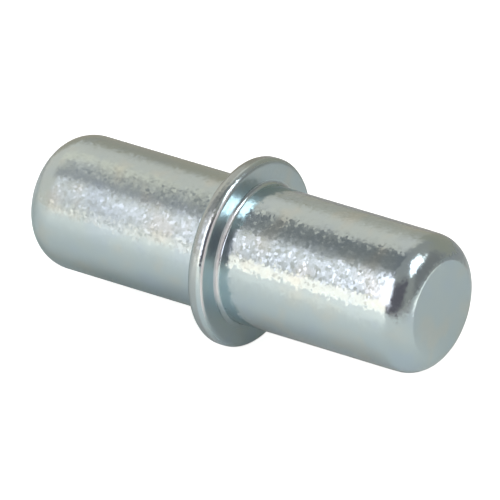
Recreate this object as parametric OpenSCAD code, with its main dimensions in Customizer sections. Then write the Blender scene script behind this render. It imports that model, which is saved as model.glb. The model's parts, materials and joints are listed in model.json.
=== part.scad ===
// Shelf support pin: a plain round steel pin with a collar upset between its two stems.
// One stem goes into a drilled hole in the cabinet panel, up to the collar, and the shelf rests on the other.
// The pin lies along X. The origin is on its axis, in the plane of the collar's seat on the panel.
// The panel stem runs to -X, the shelf stem to +X, and +Z is up. All sizes are in millimetres.

/* [Panel stem] */
// Diameter of the panel stem, a slip fit in a 5 mm hole
panel_d = 4.85; // [4:0.05:5.5]
// Length of the panel stem, from the collar's seat to its end
panel_stem = 7.8; // [5:0.1:12]
// Radius of the arc that rounds off its end
panel_arc = 1.4; // [0.9:0.05:1.8]
// How far that arc comes in from the stem's surface before the flat cuts it
panel_depth = 0.7; // [0.3:0.05:0.9]

/* [Shelf stem] */
// Diameter of the shelf stem
shelf_d = 5; // [4:0.05:6]
// Length of the shelf stem, from the collar's front face to its end
shelf_stem = 7.75; // [5:0.05:12]
// Radius of the arc that rounds off its end
shelf_arc = 1; // [0.9:0.05:1.6]
// How far that arc comes in from the stem's surface before the flat cuts it
shelf_depth = 0.75; // [0.3:0.05:0.9]

/* [Collar] */
// How far the collar stands out from the shelf stem
collar_lip = 0.9; // [0.75:0.05:2.5]
// Thickness of the collar
collar_t = 0.7; // [0.65:0.05:2]
// Rounding of the collar's rim on the seat side
seat_edge = 0.3; // [0.05:0.05:0.35]
// Rounding of the collar's rim on the front side
front_edge = 0.2; // [0.05:0.05:0.35]
// Radius of the fillet from the collar's front face to the shelf stem
front_fillet = 0.15; // [0.1:0.05:0.4]

/* [Hidden] */
panel_r = panel_d / 2;
shelf_r = shelf_d / 2;
collar_r = shelf_r + collar_lip;
$fn = 128;

// Length of a rounded end, from where its arc leaves the stem to the flat; a quarter round has no more to give
function end_length(arc, depth) = sqrt(pow(arc, 2) - pow(max(arc - depth, 0), 2));

// Outlines are drawn with the distance from the axis along x and the place along the axis along y.

// What an arc of radius r leaves in the corner at the origin: added to fill a corner, or taken off to round one
module spandrel(r) {
    difference() {
        square(r);
        translate([r, r]) circle(r);
    }
}

// Half outline of one stem that starts at y = 0 and ends in an arc and a flat
module stem_outline(radius, length, arc, depth) {
    rounded = end_length(arc, depth);
    straight = length - rounded;
    core = radius - arc;
    square([radius, straight]);
    translate([0, straight]) square([core, rounded]);
    translate([core, straight]) intersection() {
        circle(arc);
        square([arc, rounded]);
    }
}

// Half outline of the collar, with both edges of its rim rounded
module collar_outline() {
    difference() {
        square([collar_r, collar_t]);
        translate([collar_r, 0]) mirror([1, 0]) spandrel(seat_edge);
        translate([collar_r, collar_t]) rotate(180) spandrel(front_edge);
    }
}

// Half outline of the whole pin, from the panel end to the shelf end
module pin_outline() {
    mirror([0, 1]) stem_outline(panel_r, panel_stem, panel_arc, panel_depth);
    collar_outline();
    translate([shelf_r, collar_t]) spandrel(front_fillet);
    translate([0, collar_t]) stem_outline(shelf_r, shelf_stem, shelf_arc, shelf_depth);
}

// The pin: both stems and the collar, headed from one length of wire and zinc plated
module pin() {
    color("#a9b4b4") rotate([0, 90, 0]) rotate_extrude() pin_outline();
}

pin();
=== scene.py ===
"""Shelf support pin in bright zinc plate: a round steel pin with a collar between its two stems."""

import json
import math

import bpy
from bpy.props import FloatProperty, FloatVectorProperty, IntProperty, PointerProperty
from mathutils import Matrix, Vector


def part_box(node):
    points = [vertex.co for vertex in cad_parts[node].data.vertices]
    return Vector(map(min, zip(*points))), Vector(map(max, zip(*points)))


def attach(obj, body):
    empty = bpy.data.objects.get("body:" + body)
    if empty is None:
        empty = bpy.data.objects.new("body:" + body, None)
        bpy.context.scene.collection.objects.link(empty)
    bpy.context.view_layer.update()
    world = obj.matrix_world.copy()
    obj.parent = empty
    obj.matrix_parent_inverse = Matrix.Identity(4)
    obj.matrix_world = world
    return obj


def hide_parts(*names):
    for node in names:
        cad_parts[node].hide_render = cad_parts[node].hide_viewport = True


bl_info = {
    "name": "Shelf Support Pin",
    "version": (1, 0, 0),
    "blender": (4, 5, 0),
    "location": "View3D > Sidebar > Shelf Pin",
    "description": "Models a zinc-plated shelf support pin and sets a plain studio around it",
    "category": "Add Mesh",
}

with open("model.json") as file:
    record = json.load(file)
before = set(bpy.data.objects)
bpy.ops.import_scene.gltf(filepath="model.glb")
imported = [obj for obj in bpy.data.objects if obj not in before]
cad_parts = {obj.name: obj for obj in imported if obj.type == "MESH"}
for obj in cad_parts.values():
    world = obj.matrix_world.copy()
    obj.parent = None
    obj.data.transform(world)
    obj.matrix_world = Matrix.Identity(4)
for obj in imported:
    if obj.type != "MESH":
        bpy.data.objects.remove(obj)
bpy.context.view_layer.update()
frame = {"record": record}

MM = 0.001
MOUNTS = {mount["name"]: mount for mount in frame["record"]["mounts"]}
PIN_LOW, PIN_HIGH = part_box("pin")
PANEL_RADIUS = MOUNTS["panel_pin"]["dims"]["r_mm"] * MM
PANEL_STRAIGHT = MOUNTS["panel_pin"]["dims"]["length_mm"] * MM
SHELF_RADIUS = MOUNTS["shelf_pin"]["dims"]["r_mm"] * MM
SHELF_START = MOUNTS["shelf_pin"]["pos_m"][0]
SHELF_STRAIGHT_END = SHELF_START + MOUNTS["shelf_pin"]["dims"]["length_mm"] * MM


def length(name, description, default):
    """A size in metres that shows with its unit."""
    return FloatProperty(
        name=name, description=description, default=default, min=0, unit="LENGTH", precision=6)


def share(name, description, default):
    """A value from 0 to 1."""
    return FloatProperty(
        name=name, description=description, default=default, min=0, max=1, subtype="FACTOR")


def colour(name, description, default):
    """A linear colour."""
    return FloatVectorProperty(
        name=name, description=description, default=default, subtype="COLOR", min=0, max=4)


def angle(name, description, degrees):
    """An angle, given in degrees and kept in radians."""
    return FloatProperty(
        name=name, description=description, default=math.radians(degrees), subtype="ANGLE")


class PinSizes(bpy.types.PropertyGroup):
    """Sizes of the pin. The outer ones come from the frame."""

    panel_radius: length("Panel stem radius", "Radius of the panel stem", PANEL_RADIUS)
    panel_stem: length("Panel stem", "Length of the panel stem, from the collar's seat", -PIN_LOW.x)
    panel_straight: length("Panel straight", "How much of the panel stem is straight", PANEL_STRAIGHT)
    panel_arc: length("Panel arc", "Radius of the arc that rounds off the panel end", 1.4 * MM)
    shelf_radius: length("Shelf stem radius", "Radius of the shelf stem", SHELF_RADIUS)
    shelf_end: length("Shelf end", "From the collar's seat to the end of the shelf stem", PIN_HIGH.x)
    shelf_straight: length("Shelf straight", "Where the shelf stem's arc has its centre", SHELF_STRAIGHT_END)
    shelf_arc: length("Shelf arc", "Radius of the arc that rounds off the shelf end", 1.0 * MM)
    shelf_ease: length("Shelf ease", "Stretch over which the shelf stem eases into its arc", 0.6 * MM)
    ease_turn: angle("Ease turn", "How far the surface has turned where that stretch ends", 1.6)
    flat_edge: length("Flat edge", "Rounding of the edge between an end's arc and its flat", 0.25 * MM)
    collar_radius: length("Collar radius", "Radius of the collar", PIN_HIGH.z)
    seat_edge: length("Seat edge", "Rounding of the collar's rim on the seat side", 0.3 * MM)
    front_edge: length("Front edge", "Rounding of the collar's rim on the front side", 0.2 * MM)
    fillet: length("Fillet", "Radius of the fillet in front of the collar", 0.15 * MM)
    face_lean: angle("Face lean", "How far the collar's front face leans back towards its rim", 2)
    spacing: length("Spacing", "Distance between the mesh's rings along a straight stretch", 0.08 * MM)
    turns: IntProperty(name="Turns", description="Faces around the pin", default=208, min=24)


class PinFinish(bpy.types.PropertyGroup):
    """Colours and grain of the zinc plate."""

    zinc: colour("Zinc", "Main colour of the blue passivated plate", (0.545, 0.665, 0.692))
    straw: colour("Straw tint", "Where the passivation leans to straw", (0.59, 0.67, 0.655))
    blue: colour("Blue tint", "Where the passivation leans to blue", (0.525, 0.65, 0.712))
    rim: colour("Rim tint", "The duller trimmed rim of the collar", (0.44, 0.515, 0.53))
    # Painted highlight: a near-white colour laid on two edges of the collar, only on the side towards the
    # light
    painted_highlight: colour("Worn edges", "Where the plate is rubbed bright", (0.97, 0.98, 0.99))
    shelf_rough: share("Shelf stem roughness", "Roughness of the shelf stem", 0.16)
    panel_rough: share("Panel stem roughness", "Roughness of the panel stem", 0.245)
    face_rough: share("Face roughness", "Roughness of the collar's front face", 0.3)
    rim_rough: share("Rim roughness", "Roughness of the collar's rim", 0.25)
    # Roughness where the painted highlight lies on the edges
    painted_highlight_rough: share("Worn roughness", "Roughness of the worn edges", 0.5)
    uneven: share("Uneven roughness", "How much the roughness of the stems varies", 0.08)
    flake: length("Flake", "Size of the plate's small flakes", 0.11 * MM)
    flake_tilt: angle("Flake tilt", "How far the flakes lean along the pin, at most", 2.5)
    flake_roll: angle("Flake roll", "How far the flakes lean round the pin, at most", 3.4)
    grain: length("Grain", "Size of the fine grain", 0.07 * MM)
    relief: length("Relief", "Height of the fine grain", 0.0009 * MM)


class StageLook(bpy.types.PropertyGroup):
    """Floor and camera around the pin."""

    floor: colour("Floor", "Colour of the floor", (0.73, 0.775, 0.768))
    # Painted shade: the floor is darker behind the pin and past the shelf end, with a painted shadow under
    # the panel stem
    floor_shade_behind: colour("Floor behind", "Colour of the floor behind the pin", (0.47, 0.47, 0.46))
    floor_shade_aside: colour("Floor aside", "Colour of the floor past the shelf end", (0.32, 0.31, 0.32))
    floor_shadow_under: colour("Floor under", "Colour of the floor under the panel stem", (0.58, 0.655, 0.65))
    pool: colour("Pool", "Colour of the pools of light on the floor", (1, 0.88, 0.78))
    lift: share("Lift", "White that is added where the camera sees the floor", 0.8)
    azimuth: angle("Azimuth", "Turn of the camera about the vertical, from looking along +Y", 35.17)
    elevation: angle("Elevation", "Height of the camera over the horizon", 25.29)
    distance: length("Distance", "From the camera to the point that it looks at", 379.1 * MM)
    lens: FloatProperty(name="Lens", description="Focal length in millimetres", default=783.8, min=1)
    aim: FloatVectorProperty(
        name="Aim", description="Point that the camera looks at", unit="LENGTH",
        default=(0.259 * MM, 0.161 * MM, -0.036 * MM))


def clear_selection():
    """Deselects everything, because an operator acts on all that is selected."""
    bpy.ops.object.select_all(action="DESELECT")


# Points that lie closer than this are merged where the turned outline meets itself
MERGE_DISTANCE = 0.0005 * MM


class Lathe:
    """Draws a half outline in the XZ plane, point after point, and turns it about X."""

    def __init__(self, name, x, radius):
        clear_selection()
        bpy.ops.mesh.primitive_plane_add(size=MM, location=(x, 0, radius))
        self.piece = bpy.context.object
        self.piece.name = name
        bpy.ops.object.transform_apply(location=True, rotation=False, scale=False)
        bpy.ops.object.mode_set(mode="EDIT")
        bpy.ops.mesh.select_mode(type="VERT")
        bpy.ops.mesh.select_all(action="SELECT")
        bpy.ops.mesh.merge(type="CENTER")
        self.at = Vector((x, 0, radius))

    def line(self, x, radius, spacing):
        """A straight stretch to that place."""
        end = Vector((x, 0, radius))
        steps = max(1, math.ceil((end - self.at).length / spacing))
        step = (end - self.at) / steps
        for _ in range(steps):
            bpy.ops.mesh.extrude_region_move(TRANSFORM_OT_translate={"value": step})
        self.at = end

    def arc(self, x, radius, turn, steps):
        """An arc about that centre. A positive turn carries +Z towards +X."""
        centre = Vector((x, 0, radius))
        bpy.ops.mesh.spin(steps=steps, angle=turn, center=centre, axis=(0, -1, 0))
        arm = self.at - centre
        self.at = centre + Vector((
            arm.x * math.cos(turn) + arm.z * math.sin(turn), 0,
            arm.z * math.cos(turn) - arm.x * math.sin(turn)))

    def turn(self, steps):
        """Turns the outline once round X, closes the seam and the poles, and faces it outwards."""
        bpy.ops.mesh.select_all(action="SELECT")
        bpy.ops.mesh.spin(steps=steps, angle=math.tau, center=(0, 0, 0), axis=(1, 0, 0))
        bpy.ops.mesh.select_all(action="SELECT")
        bpy.ops.mesh.remove_doubles(threshold=MERGE_DISTANCE)
        bpy.ops.mesh.normals_make_consistent(inside=False)
        bpy.ops.object.mode_set(mode="OBJECT")
        return self.piece


def end_form(radius, rounded, arc, edge):
    """How a rounded end runs: radius of its flat, turn of its arc and turn of its edge."""
    # The edge's small arc touches the flat and lies inside the large arc
    inset = rounded - edge
    reach = arc - edge
    large_turn = math.asin(inset / reach)
    flat = radius - arc + reach * math.cos(large_turn)
    return flat, large_turn, math.pi / 2 - large_turn


class SHELFPIN_OT_pin(bpy.types.Operator):
    """Turns the pin from its half outline and plates it"""

    bl_idname = "shelf_pin.pin"
    bl_label = "Pin"
    bl_options = {"REGISTER", "UNDO"}

    def execute(self, context):
        sizes = context.scene.pin_sizes
        pin = turn_pin(sizes)
        bpy.ops.object.shade_smooth()
        pin.data.materials.append(zinc_plate(context.scene.pin_finish, sizes))
        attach(pin, "root")
        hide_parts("pin")
        return {"FINISHED"}


# Mesh steps of an end's arc, of the edge of its flat, of the rim's edges, of the fillet and of the ease
ARC_STEPS, FLAT_EDGE_STEPS, RIM_EDGE_STEPS, FILLET_STEPS, EASE_STEPS = 26, 4, 10, 12, 6


def front_face(sizes):
    """Where along X the collar's front face meets the fillet."""
    return SHELF_START - sizes.fillet


def turn_pin(sizes):
    """The pin's mesh, from the panel end to the shelf end."""
    lathe = Lathe("pin_zinc_plated", -sizes.panel_stem, 0)
    draw_panel_stem(lathe, sizes)
    draw_collar(lathe, sizes)
    draw_shelf_stem(lathe, sizes)
    return lathe.turn(sizes.turns)


def draw_panel_stem(lathe, sizes):
    """From the middle of the panel end to the collar's seat."""
    radius, edge = sizes.panel_radius, sizes.flat_edge
    end, straight = -sizes.panel_stem, -sizes.panel_straight
    flat, large_turn, small_turn = end_form(radius, straight - end, sizes.panel_arc, edge)
    lathe.line(end, flat, sizes.spacing)
    lathe.arc(end + edge, flat, small_turn, FLAT_EDGE_STEPS)
    lathe.arc(straight, radius - sizes.panel_arc, large_turn, ARC_STEPS)
    lathe.line(0, radius, sizes.spacing)


def draw_collar(lathe, sizes):
    """From the collar's seat round its rim, down the leaning front face and through the fillet."""
    collar, shelf, fillet = sizes.collar_radius, sizes.shelf_radius, sizes.fillet
    rounding, lean = sizes.front_edge, sizes.face_lean
    front = front_face(sizes)
    fine = sizes.spacing / 2
    lathe.line(0, collar - sizes.seat_edge, fine)
    lathe.arc(sizes.seat_edge, collar - sizes.seat_edge, math.pi / 2, RIM_EDGE_STEPS)
    face_height = collar - rounding + rounding * math.sin(lean) - shelf - fillet
    rim_front = front - face_height * math.tan(lean) - rounding * math.cos(lean)
    lathe.line(rim_front, collar, fine)
    lathe.arc(rim_front, collar - rounding, math.pi / 2 - lean, RIM_EDGE_STEPS)
    lathe.line(front, shelf + fillet, fine)
    lathe.arc(front + fillet, shelf + fillet, -math.pi / 2, FILLET_STEPS)


def draw_shelf_stem(lathe, sizes):
    """From the fillet to the middle of the shelf end."""
    radius, edge, arc = sizes.shelf_radius, sizes.flat_edge, sizes.shelf_arc
    end, straight = sizes.shelf_end, sizes.shelf_straight
    # The stem eases into the arc, which keeps its centre and so starts already turned a little
    ease, turned = sizes.shelf_ease, sizes.ease_turn
    ease_start = straight + arc * math.sin(turned) - ease
    lathe.line(ease_start, radius, sizes.spacing)
    lathe.arc(ease_start, radius - ease / math.sin(turned), turned, EASE_STEPS)
    core = lathe.at.z - arc * math.cos(turned)
    flat, large_turn, small_turn = end_form(core + arc, end - straight, arc, edge)
    lathe.arc(straight, core, large_turn - turned, ARC_STEPS)
    lathe.arc(end - edge, flat, small_turn, FLAT_EDGE_STEPS)
    lathe.line(end, 0, sizes.spacing)


class Nodes:
    """A node tree with short calls to add and link nodes."""

    def __init__(self, tree):
        self.tree = tree
        tree.nodes.clear()

    def put(self, socket, value):
        """Links a socket to an input, or sets the input's value."""
        if isinstance(value, bpy.types.NodeSocket):
            self.tree.links.new(value, socket)
        else:
            socket.default_value = value

    def add(self, kind, inputs=None, **settings):
        """A node with its settings, and with values or links on its inputs."""
        node = self.tree.nodes.new(kind)
        for name, value in settings.items():
            setattr(node, name, value)
        for name, value in (inputs or {}).items():
            self.put(node.inputs[name], value)
        return node

    def math(self, operation, first, second=0.0, third=0.0):
        """One sum of numbers or sockets."""
        return self.add("ShaderNodeMath", {0: first, 1: second, 2: third}, operation=operation).outputs[0]

    def vector(self, operation, first, second=(0, 0, 0)):
        """One sum of vectors that gives a vector."""
        return self.add("ShaderNodeVectorMath", {0: first, 1: second}, operation=operation).outputs[0]

    def measure(self, operation, first, second=(0, 0, 0)):
        """One sum of vectors that gives a number."""
        node = self.add("ShaderNodeVectorMath", {0: first, 1: second}, operation=operation)
        return node.outputs["Value"]

    def noise(self, vector, scale, detail, output="Fac"):
        """Soft noise, as a number or a colour."""
        inputs = {"Vector": vector, "Scale": scale, "Detail": detail}
        return self.add("ShaderNodeTexNoise", inputs).outputs[output]

    def mix(self, factor, first, second):
        """A blend of two colours."""
        node = self.add("ShaderNodeMix", data_type="RGBA")
        self.put(node.inputs["Factor"], factor)
        for socket, value in ((node.inputs[6], first), (node.inputs[7], second)):
            self.put(socket, value if isinstance(value, bpy.types.NodeSocket) else (*value, 1))
        return node.outputs[2]

    def ramp(self, value, low, high, to_low=0.0, to_high=1.0):
        """A smooth step of a value from low to high."""
        return self.add(
            "ShaderNodeMapRange",
            {"Value": value, "From Min": low, "From Max": high, "To Min": to_low, "To Max": to_high},
            interpolation_type="SMOOTHSTEP").outputs[0]


def new_material(name):
    """A material and its empty node tree."""
    material = bpy.data.materials.new(name)
    material.use_nodes = True
    return material, Nodes(material.node_tree)


# Where each finish starts and where it is full.
# The rim: how far inside the collar's radius, and where along X
RIM_INSIDE = (0.12 * MM, 0.02 * MM)
RIM_ALONG = (0.5 * MM, 0.42 * MM)
# The front face: how far out from the shelf stem, and how far behind the front
FACE_OUT = (0.1 * MM, 0.2 * MM)
FACE_BEHIND = (0.12 * MM, 0.04 * MM)
# The panel stem's finish along X
PANEL_ALONG = (0.5 * MM, -0.5 * MM)

# Rings of painted highlight, the collar's root and the front edge of its rim: how far ahead of the front
# their middle lies, how far out from the shelf stem's or the collar's radius, and how far the ring reaches
# from there
ROOT_RING = (0.01 * MM, 0.09 * MM, 0.12 * MM)
EDGE_RING = (-0.045 * MM, -0.08 * MM, 0.07 * MM)
RING_SOFT = 0.05 * MM
# The side of the collar that gets the painted highlight, towards the front and a little up where the light
# falls, and how squarely a place has to face that side
LIT_SIDE = (0, -0.94, 0.34)
LIT_FACING = (0.66, 0.9)

# Tints of the passivation and clouds of roughness per metre, and how the grain is drawn along X
TINT_SCALE = 700
CLOUD_SCALE = 2500
DRAWN = (0.7, 1, 1)
# Values of the noise between which the zinc turns to the blue tint, and to the straw tint
BLUE_TINT = (0.5, 0.3)
STRAW_TINT = (0.5, 0.7)
# How finely and how far the flakes' outlines are torn, for a flake of size 1, and how soft they are
TEAR_SCALE = 1.6
TEAR_REACH = 0.6
FLAKE_SOFT = 0.25


def zinc_plate(finish, sizes):
    """Bright zinc plate: soft tints, flakes and grain, a duller rim and a painted highlight on two edges."""
    material, nodes = new_material("zinc_plate")
    place = nodes.add("ShaderNodeTexCoord").outputs["Object"]
    drawn = nodes.add("ShaderNodeMapping", {"Vector": place, "Scale": DRAWN}).outputs[0]
    along = nodes.add("ShaderNodeSeparateXYZ", {"Vector": place}).outputs["X"]

    # Distance from the axis, which tells the collar from the stems
    across = nodes.vector("MULTIPLY", place, (0, 1, 1))
    radius = nodes.measure("LENGTH", across)
    front = front_face(sizes)
    on_rim = nodes.math(
        "MULTIPLY", nodes.ramp(radius, *(sizes.collar_radius - inside for inside in RIM_INSIDE)),
        nodes.ramp(along, *RIM_ALONG))
    on_face = nodes.math(
        "MULTIPLY", nodes.ramp(radius, *(sizes.shelf_radius + out for out in FACE_OUT)),
        nodes.ramp(along, *(front - behind for behind in FACE_BEHIND)))
    on_panel_stem = nodes.ramp(along, *PANEL_ALONG)
    # Mask of the painted highlight on two edges of the collar
    painted_highlight = painted_highlight_edges(nodes, sizes, across, along, radius)

    tint = nodes.noise(place, TINT_SCALE, 2.0)
    bluish = nodes.mix(nodes.ramp(tint, *BLUE_TINT), finish.zinc, finish.blue)
    plate = nodes.mix(nodes.ramp(tint, *STRAW_TINT), bluish, finish.straw)
    # The painted highlight is laid over the plate's colour
    base = nodes.mix(painted_highlight, nodes.mix(on_rim, plate, finish.rim), finish.painted_highlight)

    cloud = nodes.math("SUBTRACT", nodes.noise(drawn, CLOUD_SCALE, 3.0), 0.5)
    rough = nodes.ramp(on_panel_stem, 0.0, 1.0, finish.shelf_rough, finish.panel_rough)
    rough = nodes.math("MULTIPLY_ADD", cloud, finish.uneven, rough)
    rough = nodes.ramp(on_face, 0.0, 1.0, rough, finish.face_rough)
    rough = nodes.ramp(on_rim, 0.0, 1.0, rough, finish.rim_rough)
    rough = nodes.ramp(painted_highlight, 0.0, 1.0, rough, finish.painted_highlight_rough)

    shader = nodes.add("ShaderNodeBsdfPrincipled", {
        "Base Color": base, "Metallic": 1.0, "Roughness": rough,
        "Normal": flaked_normal(nodes, finish, place, drawn)})
    nodes.add("ShaderNodeOutputMaterial", {"Surface": shader.outputs[0]})
    return material


def painted_highlight_edges(nodes, sizes, across, along, radius):
    """Mask of the painted highlight on the collar's root and the front edge of its rim, on the side towards
    the light.
    """
    outline = nodes.add("ShaderNodeCombineXYZ", {"X": along, "Y": radius}).outputs[0]
    front = front_face(sizes)
    painted_highlight = 0.0
    for ring, base_radius in ((ROOT_RING, sizes.shelf_radius), (EDGE_RING, sizes.collar_radius)):
        ahead, out, reach = ring
        away = nodes.measure("DISTANCE", outline, (front + ahead, base_radius + out, 0))
        painted_highlight = nodes.math("MAXIMUM", painted_highlight, nodes.ramp(away, reach, reach - RING_SOFT))
    facing = nodes.measure("DOT_PRODUCT", nodes.vector("NORMALIZE", across), LIT_SIDE)
    return nodes.math("MULTIPLY", painted_highlight, nodes.ramp(facing, *LIT_FACING))


def flaked_normal(nodes, finish, place, drawn):
    """Fine grain, and over it small flakes that each lean their own way."""
    grain = nodes.noise(drawn, 1 / finish.grain, 2.0)
    bump = nodes.add("ShaderNodeBump", {"Height": grain, "Distance": finish.relief, "Strength": 1.0})
    tear = nodes.noise(place, TEAR_SCALE / finish.flake, 1.0, "Color")
    tear = nodes.vector("MULTIPLY", tear, [TEAR_REACH * finish.flake] * 3)
    strewn = nodes.vector("ADD", place, tear)
    flakes = nodes.add(
        "ShaderNodeTexVoronoi", {"Vector": strewn, "Scale": 1 / finish.flake, "Smoothness": FLAKE_SOFT},
        feature="SMOOTH_F1").outputs["Color"]
    # Each flake's colour, from -0.5 to 0.5, is squared with its sign kept, so that most lean only a little
    lean = nodes.vector("SUBTRACT", flakes, (0.5, 0.5, 0.5))
    lean = nodes.vector("MULTIPLY", lean, nodes.vector("ABSOLUTE", lean))
    tilt, roll = 4 * math.tan(finish.flake_tilt), 4 * math.tan(finish.flake_roll)
    lean = nodes.vector("MULTIPLY", lean, (tilt, roll, roll))
    return nodes.vector("NORMALIZE", nodes.vector("ADD", bump.outputs[0], lean))


# Zones of the floor, each a product of smooth steps: the axis, where the step starts and where it is
# full in millimetres, and then the values at both ends where they aren't 0 and 1
# Ahead and below glow as painted pools of light; behind and aside are painted shade, and under is a painted
# shadow beneath the panel stem
ZONES = {
    "ahead": (("x", 12, 3), ("x", -24, -4, 0.5, 1.0), ("y", 0, -22)),
    "below": (("x", 8, 13, 0.09, 0.2), ("x", -8, 4), ("y", 5, 0)),
    "behind": (("y", 8, 26),),
    "aside": (("x", 12, 46), ("y", 6, -4)),
    "under": (("x", 0.5, -1.5), ("y", -2.8, -0.8), ("y", 5, 1)),
}
# A round pool of light beyond the shelf end: its middle, its soft edge and its strength
BEYOND = (25 * MM, 9 * MM, 0)
BEYOND_EDGE = (9 * MM, 5 * MM)
BEYOND_STRENGTH = 2.2
POOL_STRENGTH = 0.52
FLOOR_SIZE = 4

# Cards near the pin that only the metal reflects: middle in millimetres, tip about X and turn about Z
# in degrees, width and depth in millimetres, where along its depth it is clear and where it is full
# in millimetres, then the colour
CARDS = {
    "dark_card": ((-29.8, -34.3, 70), 0, -14, 40, 87, -41.5, 20.5, (0.245, 0.235, 0.235)),
    "grey_card": ((-34, -16.5, 35), 0, 0, 24, 12, -6, -3, (0.40, 0.37, 0.37)),
    "cream_card": ((-34, 5.5, 35), 0, 0, 24, 13, -6.5, -3, (1.05, 0.92, 0.76)),
    "olive_card": ((-33, 25, 8.3), 90, 0, 34, 23.4, -40, -20, (0.43, 0.38, 0.30)),
}

# Soft key light: azimuth and elevation of the middle in degrees, distance, colour, and its edges.
# Each edge is how far inside the middle lies and how that grows to the right and upwards, all for a
# card one metre away
KEY_PLACE = (-14.8, 35)
KEY_DISTANCE = 0.22
KEY_COLOUR = (2.45, 2.22, 2.43)
KEY_EDGES = {
    "left": (0.286, 1.0, 0.144),
    "right": (0.30, -1.0, -0.6),
    "bottom": (0.384, 0.0, 1.0),
    "top": (0.384, 0.0, -1.0),
}
KEY_SOFT = 0.12

# Low warm reflector: azimuth and elevation of the middle, width and height as seen from the pin, all
# in degrees, then its distance, brightness and tint
REFLECTOR_PLACE = (-18.4, 3)
REFLECTOR_SPAN = (29, 22)
REFLECTOR_DISTANCE = 0.12
REFLECTOR_BRIGHTNESS = 1.32
REFLECTOR_TINT = (1.0, 0.84, 0.73)

# Soft fields of the surroundings, each over the one before: azimuth and elevation of the middle,
# width, height and soft edge in degrees, lean to the left per degree of height, then the colour
FIELDS = {
    "left_wall": (-99, 18, 124, 90, 24, 0, (0.82, 0.73, 0.65)),
    "back_wall": (180, 6, 72, 68, 26, 0, (0.40, 0.365, 0.295)),
    "right_wall": (117, 22, 54, 40, 16, 0, (0.27, 0.25, 0.245)),
    "dark_front": (31, 20, 62, 54, 20, -0.35, (0.165, 0.14, 0.16)),
    "right_softbox": (99, 57, 47, 26, 13, 0, (4.6, 4.6, 4.7)),
}
SURROUND = (0.40, 0.37, 0.345)


def toward(azimuth, elevation):
    """Unit vector from the pin to that azimuth and elevation, in radians."""
    flat = math.cos(elevation)
    return Vector((math.sin(azimuth) * flat, -math.cos(azimuth) * flat, math.sin(elevation)))


def facing_pin(away):
    """Rotation that turns a light, card or camera at that place to the pin."""
    return away.to_track_quat("Z", "Y").to_euler()


class SHELFPIN_OT_stage(bpy.types.Operator):
    """Lays the floor and sets the lights, the surroundings and the camera"""

    bl_idname = "shelf_pin.stage"
    bl_label = "Stage"
    bl_options = {"REGISTER", "UNDO"}

    def execute(self, context):
        look = context.scene.stage_look
        lay_floor(look)
        for name, values in CARDS.items():
            hang_card(name, *values)
        hang_key()
        hang_reflector()
        context.scene.world = surroundings()
        context.scene.camera = place_camera(look)
        context.scene.view_settings.view_transform = "Standard"
        return {"FINISHED"}


def lay_floor(look):
    """A plain pale floor under the collar, with painted pools of light, painted shade and a painted shadow,
    lifted to white for the camera.
    """
    clear_selection()
    bpy.ops.mesh.primitive_plane_add(size=FLOOR_SIZE, location=(0, 0, PIN_LOW.z))
    floor = bpy.context.object
    floor.name = "floor"
    material, nodes = new_material("floor_paper")
    place = nodes.add("ShaderNodeTexCoord").outputs["Object"]
    x, y, _ = nodes.add("ShaderNodeSeparateXYZ", {"Vector": place}).outputs
    zones = {name: floor_zone(nodes, {"x": x, "y": y}, steps) for name, steps in ZONES.items()}

    beyond = nodes.ramp(nodes.measure("DISTANCE", place, BEYOND), *BEYOND_EDGE, 0.0, BEYOND_STRENGTH)
    pool = nodes.math("MAXIMUM", zones["ahead"], beyond)
    pool = nodes.math("MULTIPLY_ADD", pool, POOL_STRENGTH, zones["below"])
    # Painted shade behind the pin and past the shelf end, then a painted shadow under the panel stem
    paper = nodes.mix(zones["behind"], look.floor, look.floor_shade_behind)
    paper = nodes.mix(zones["aside"], paper, look.floor_shade_aside)
    paper = nodes.mix(zones["under"], paper, look.floor_shadow_under)
    shader = nodes.add("ShaderNodeBsdfPrincipled", {
        "Base Color": paper, "Roughness": 0.9,
        "Emission Color": (*look.pool, 1), "Emission Strength": pool})

    white = nodes.add("ShaderNodeEmission", {"Color": (1, 1, 1, 1), "Strength": look.lift})
    lifted = nodes.add("ShaderNodeAddShader", {0: shader.outputs[0], 1: white.outputs[0]})
    seen = nodes.add("ShaderNodeLightPath").outputs["Is Camera Ray"]
    surface = nodes.add("ShaderNodeMixShader", {0: seen, 1: shader.outputs[0], 2: lifted.outputs[0]})
    nodes.add("ShaderNodeOutputMaterial", {"Surface": surface.outputs[0]})
    floor.data.materials.append(material)


def floor_zone(nodes, axes, steps):
    """Mask of one zone of the floor."""
    zone = 1.0
    for axis, start, full, *values in steps:
        zone = nodes.math("MULTIPLY", zone, nodes.ramp(axes[axis], start * MM, full * MM, *values))
    return zone


def add_card(name, size, location, rotation):
    """A plain card that neither the camera nor a shadow shows."""
    clear_selection()
    bpy.ops.mesh.primitive_plane_add(size=size, location=location, rotation=rotation)
    card = bpy.context.object
    card.name = name
    card.visible_camera = False
    card.visible_shadow = False
    return card


def light_card(card, nodes, material, inside, tint):
    """Gives a card its glow, which is clear where inside is 0."""
    clear = nodes.add("ShaderNodeBsdfTransparent")
    glow = nodes.add("ShaderNodeEmission", {"Color": (*tint, 1), "Strength": 1.0})
    surface = nodes.add("ShaderNodeMixShader", {0: inside, 1: clear.outputs[0], 2: glow.outputs[0]})
    nodes.add("ShaderNodeOutputMaterial", {"Surface": surface.outputs[0]})
    card.data.materials.append(material)


def hang_card(name, middle, tip, turn, width, depth, clear_at, full_at, tint):
    """A card near the pin that thins out towards one edge. Only the metal reflects it."""
    card = add_card(name, MM, Vector(middle) * MM, (math.radians(tip), 0, math.radians(turn)))
    card.scale = (width, depth, 1)
    bpy.ops.object.transform_apply(location=False, rotation=False, scale=True)
    card.visible_diffuse = False
    material, nodes = new_material(name)
    place = nodes.add("ShaderNodeTexCoord").outputs["Object"]
    y = nodes.add("ShaderNodeSeparateXYZ", {"Vector": place}).outputs["Y"]
    light_card(card, nodes, material, nodes.ramp(y, clear_at * MM, full_at * MM), tint)


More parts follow.
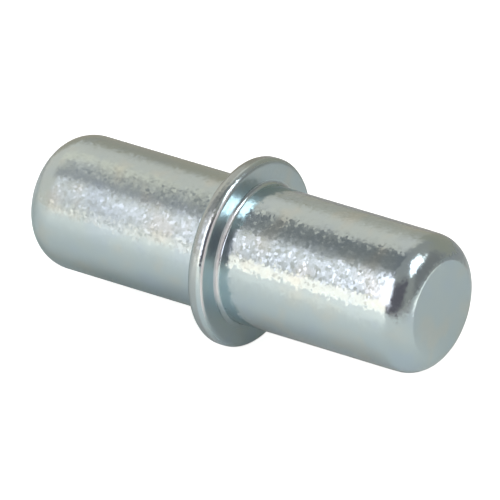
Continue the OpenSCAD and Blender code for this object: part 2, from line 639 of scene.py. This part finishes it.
def hang_key():
    """A large soft card of light, bright in the middle and clear at its edges."""
    azimuth, elevation = KEY_PLACE
    away = toward(math.radians(azimuth), math.radians(elevation))
    card = add_card("key_card", 2 * KEY_DISTANCE, away * KEY_DISTANCE, facing_pin(away))
    material, nodes = new_material("key_light")
    place = nodes.add("ShaderNodeTexCoord").outputs["Object"]
    x, y, _ = nodes.add("ShaderNodeSeparateXYZ", {"Vector": place}).outputs
    soft = KEY_SOFT * KEY_DISTANCE
    inside = 1.0
    for middle, right, up in KEY_EDGES.values():
        depth = nodes.math("MULTIPLY_ADD", x, right, middle * KEY_DISTANCE)
        depth = nodes.math("MULTIPLY_ADD", y, up, depth)
        inside = nodes.math("MULTIPLY", inside, nodes.ramp(depth, -soft, soft))
    light_card(card, nodes, material, inside, KEY_COLOUR)


def hang_reflector():
    """A low rectangular soft light that faces the pin."""
    azimuth, elevation = REFLECTOR_PLACE
    away = toward(math.radians(azimuth), math.radians(elevation))
    clear_selection()
    bpy.ops.object.light_add(
        type="AREA", location=away * REFLECTOR_DISTANCE, rotation=facing_pin(away))
    light = bpy.context.object
    light.name = "low_reflector"
    light.visible_camera = False
    light.data.shape = "RECTANGLE"
    width, height = (2 * REFLECTOR_DISTANCE * math.tan(math.radians(span) / 2) for span in REFLECTOR_SPAN)
    light.data.size = width
    light.data.size_y = height
    light.data.energy = REFLECTOR_BRIGHTNESS * math.pi * width * height
    light.data.color = REFLECTOR_TINT


def surroundings():
    """A world of soft fields of light and dark round the pin."""
    world = bpy.data.worlds.new("studio")
    world.use_nodes = True
    nodes = Nodes(world.node_tree)
    way = nodes.add("ShaderNodeTexCoord").outputs["Generated"]
    x, y, z = nodes.add("ShaderNodeSeparateXYZ", {"Vector": way}).outputs
    azimuth = nodes.math("DEGREES", nodes.math("ARCTAN2", x, nodes.math("MULTIPLY", y, -1.0)))
    elevation = nodes.math("DEGREES", nodes.math("ARCSINE", z))
    field = SURROUND
    for middle, height, wide, tall, soft, lean, tint in FIELDS.values():
        climb = nodes.math("SUBTRACT", elevation, height)
        turn = nodes.math("MULTIPLY_ADD", climb, lean, nodes.math("SUBTRACT", azimuth, middle))
        beside = nodes.math("ABSOLUTE", nodes.math("WRAP", turn, 180.0, -180.0))
        above = nodes.math("ABSOLUTE", climb)
        inside = nodes.math(
            "MULTIPLY", nodes.ramp(beside, (wide + soft) / 2, (wide - soft) / 2),
            nodes.ramp(above, (tall + soft) / 2, (tall - soft) / 2))
        field = nodes.mix(inside, field, tint)
    shader = nodes.add("ShaderNodeBackground", {"Color": field, "Strength": 1.0})
    nodes.add("ShaderNodeOutputWorld", {"Surface": shader.outputs[0]})
    return world


def place_camera(look):
    """A camera at the azimuth, elevation and distance of the look, upright."""
    away = toward(look.azimuth, look.elevation)
    clear_selection()
    bpy.ops.object.camera_add(
        location=Vector(look.aim) + away * look.distance, rotation=facing_pin(away))
    camera = bpy.context.object
    camera.name = "camera"
    camera.data.lens = look.lens
    camera.data.sensor_width = 36
    camera.data.clip_start = 0.001
    camera.data.clip_end = 10
    return camera


class SHELFPIN_PT_panel(bpy.types.Panel):
    """Sidebar panel with the pin, its finish and the stage"""

    bl_idname = "SHELFPIN_PT_panel"
    bl_label = "Shelf Pin"
    bl_space_type = "VIEW_3D"
    bl_region_type = "UI"
    bl_category = "Shelf Pin"

    def draw(self, context):
        for operator, group in (
                (SHELFPIN_OT_pin, context.scene.pin_sizes), (None, context.scene.pin_finish),
                (SHELFPIN_OT_stage, context.scene.stage_look)):
            box = self.layout.box()
            for name in group.__annotations__:
                box.prop(group, name)
            if operator:
                box.operator(operator.bl_idname)


CLASSES = (PinSizes, PinFinish, StageLook, SHELFPIN_OT_pin, SHELFPIN_OT_stage, SHELFPIN_PT_panel)


def register():
    for cls in CLASSES:
        bpy.utils.register_class(cls)
    bpy.types.Scene.pin_sizes = PointerProperty(type=PinSizes)
    bpy.types.Scene.pin_finish = PointerProperty(type=PinFinish)
    bpy.types.Scene.stage_look = PointerProperty(type=StageLook)


def unregister():
    del bpy.types.Scene.stage_look
    del bpy.types.Scene.pin_finish
    del bpy.types.Scene.pin_sizes
    for cls in reversed(CLASSES):
        bpy.utils.unregister_class(cls)


def main():
    """Builds the pin and its stage."""
    register()
    bpy.ops.shelf_pin.pin()
    bpy.ops.shelf_pin.stage()


if __name__ == "__main__":
    main()
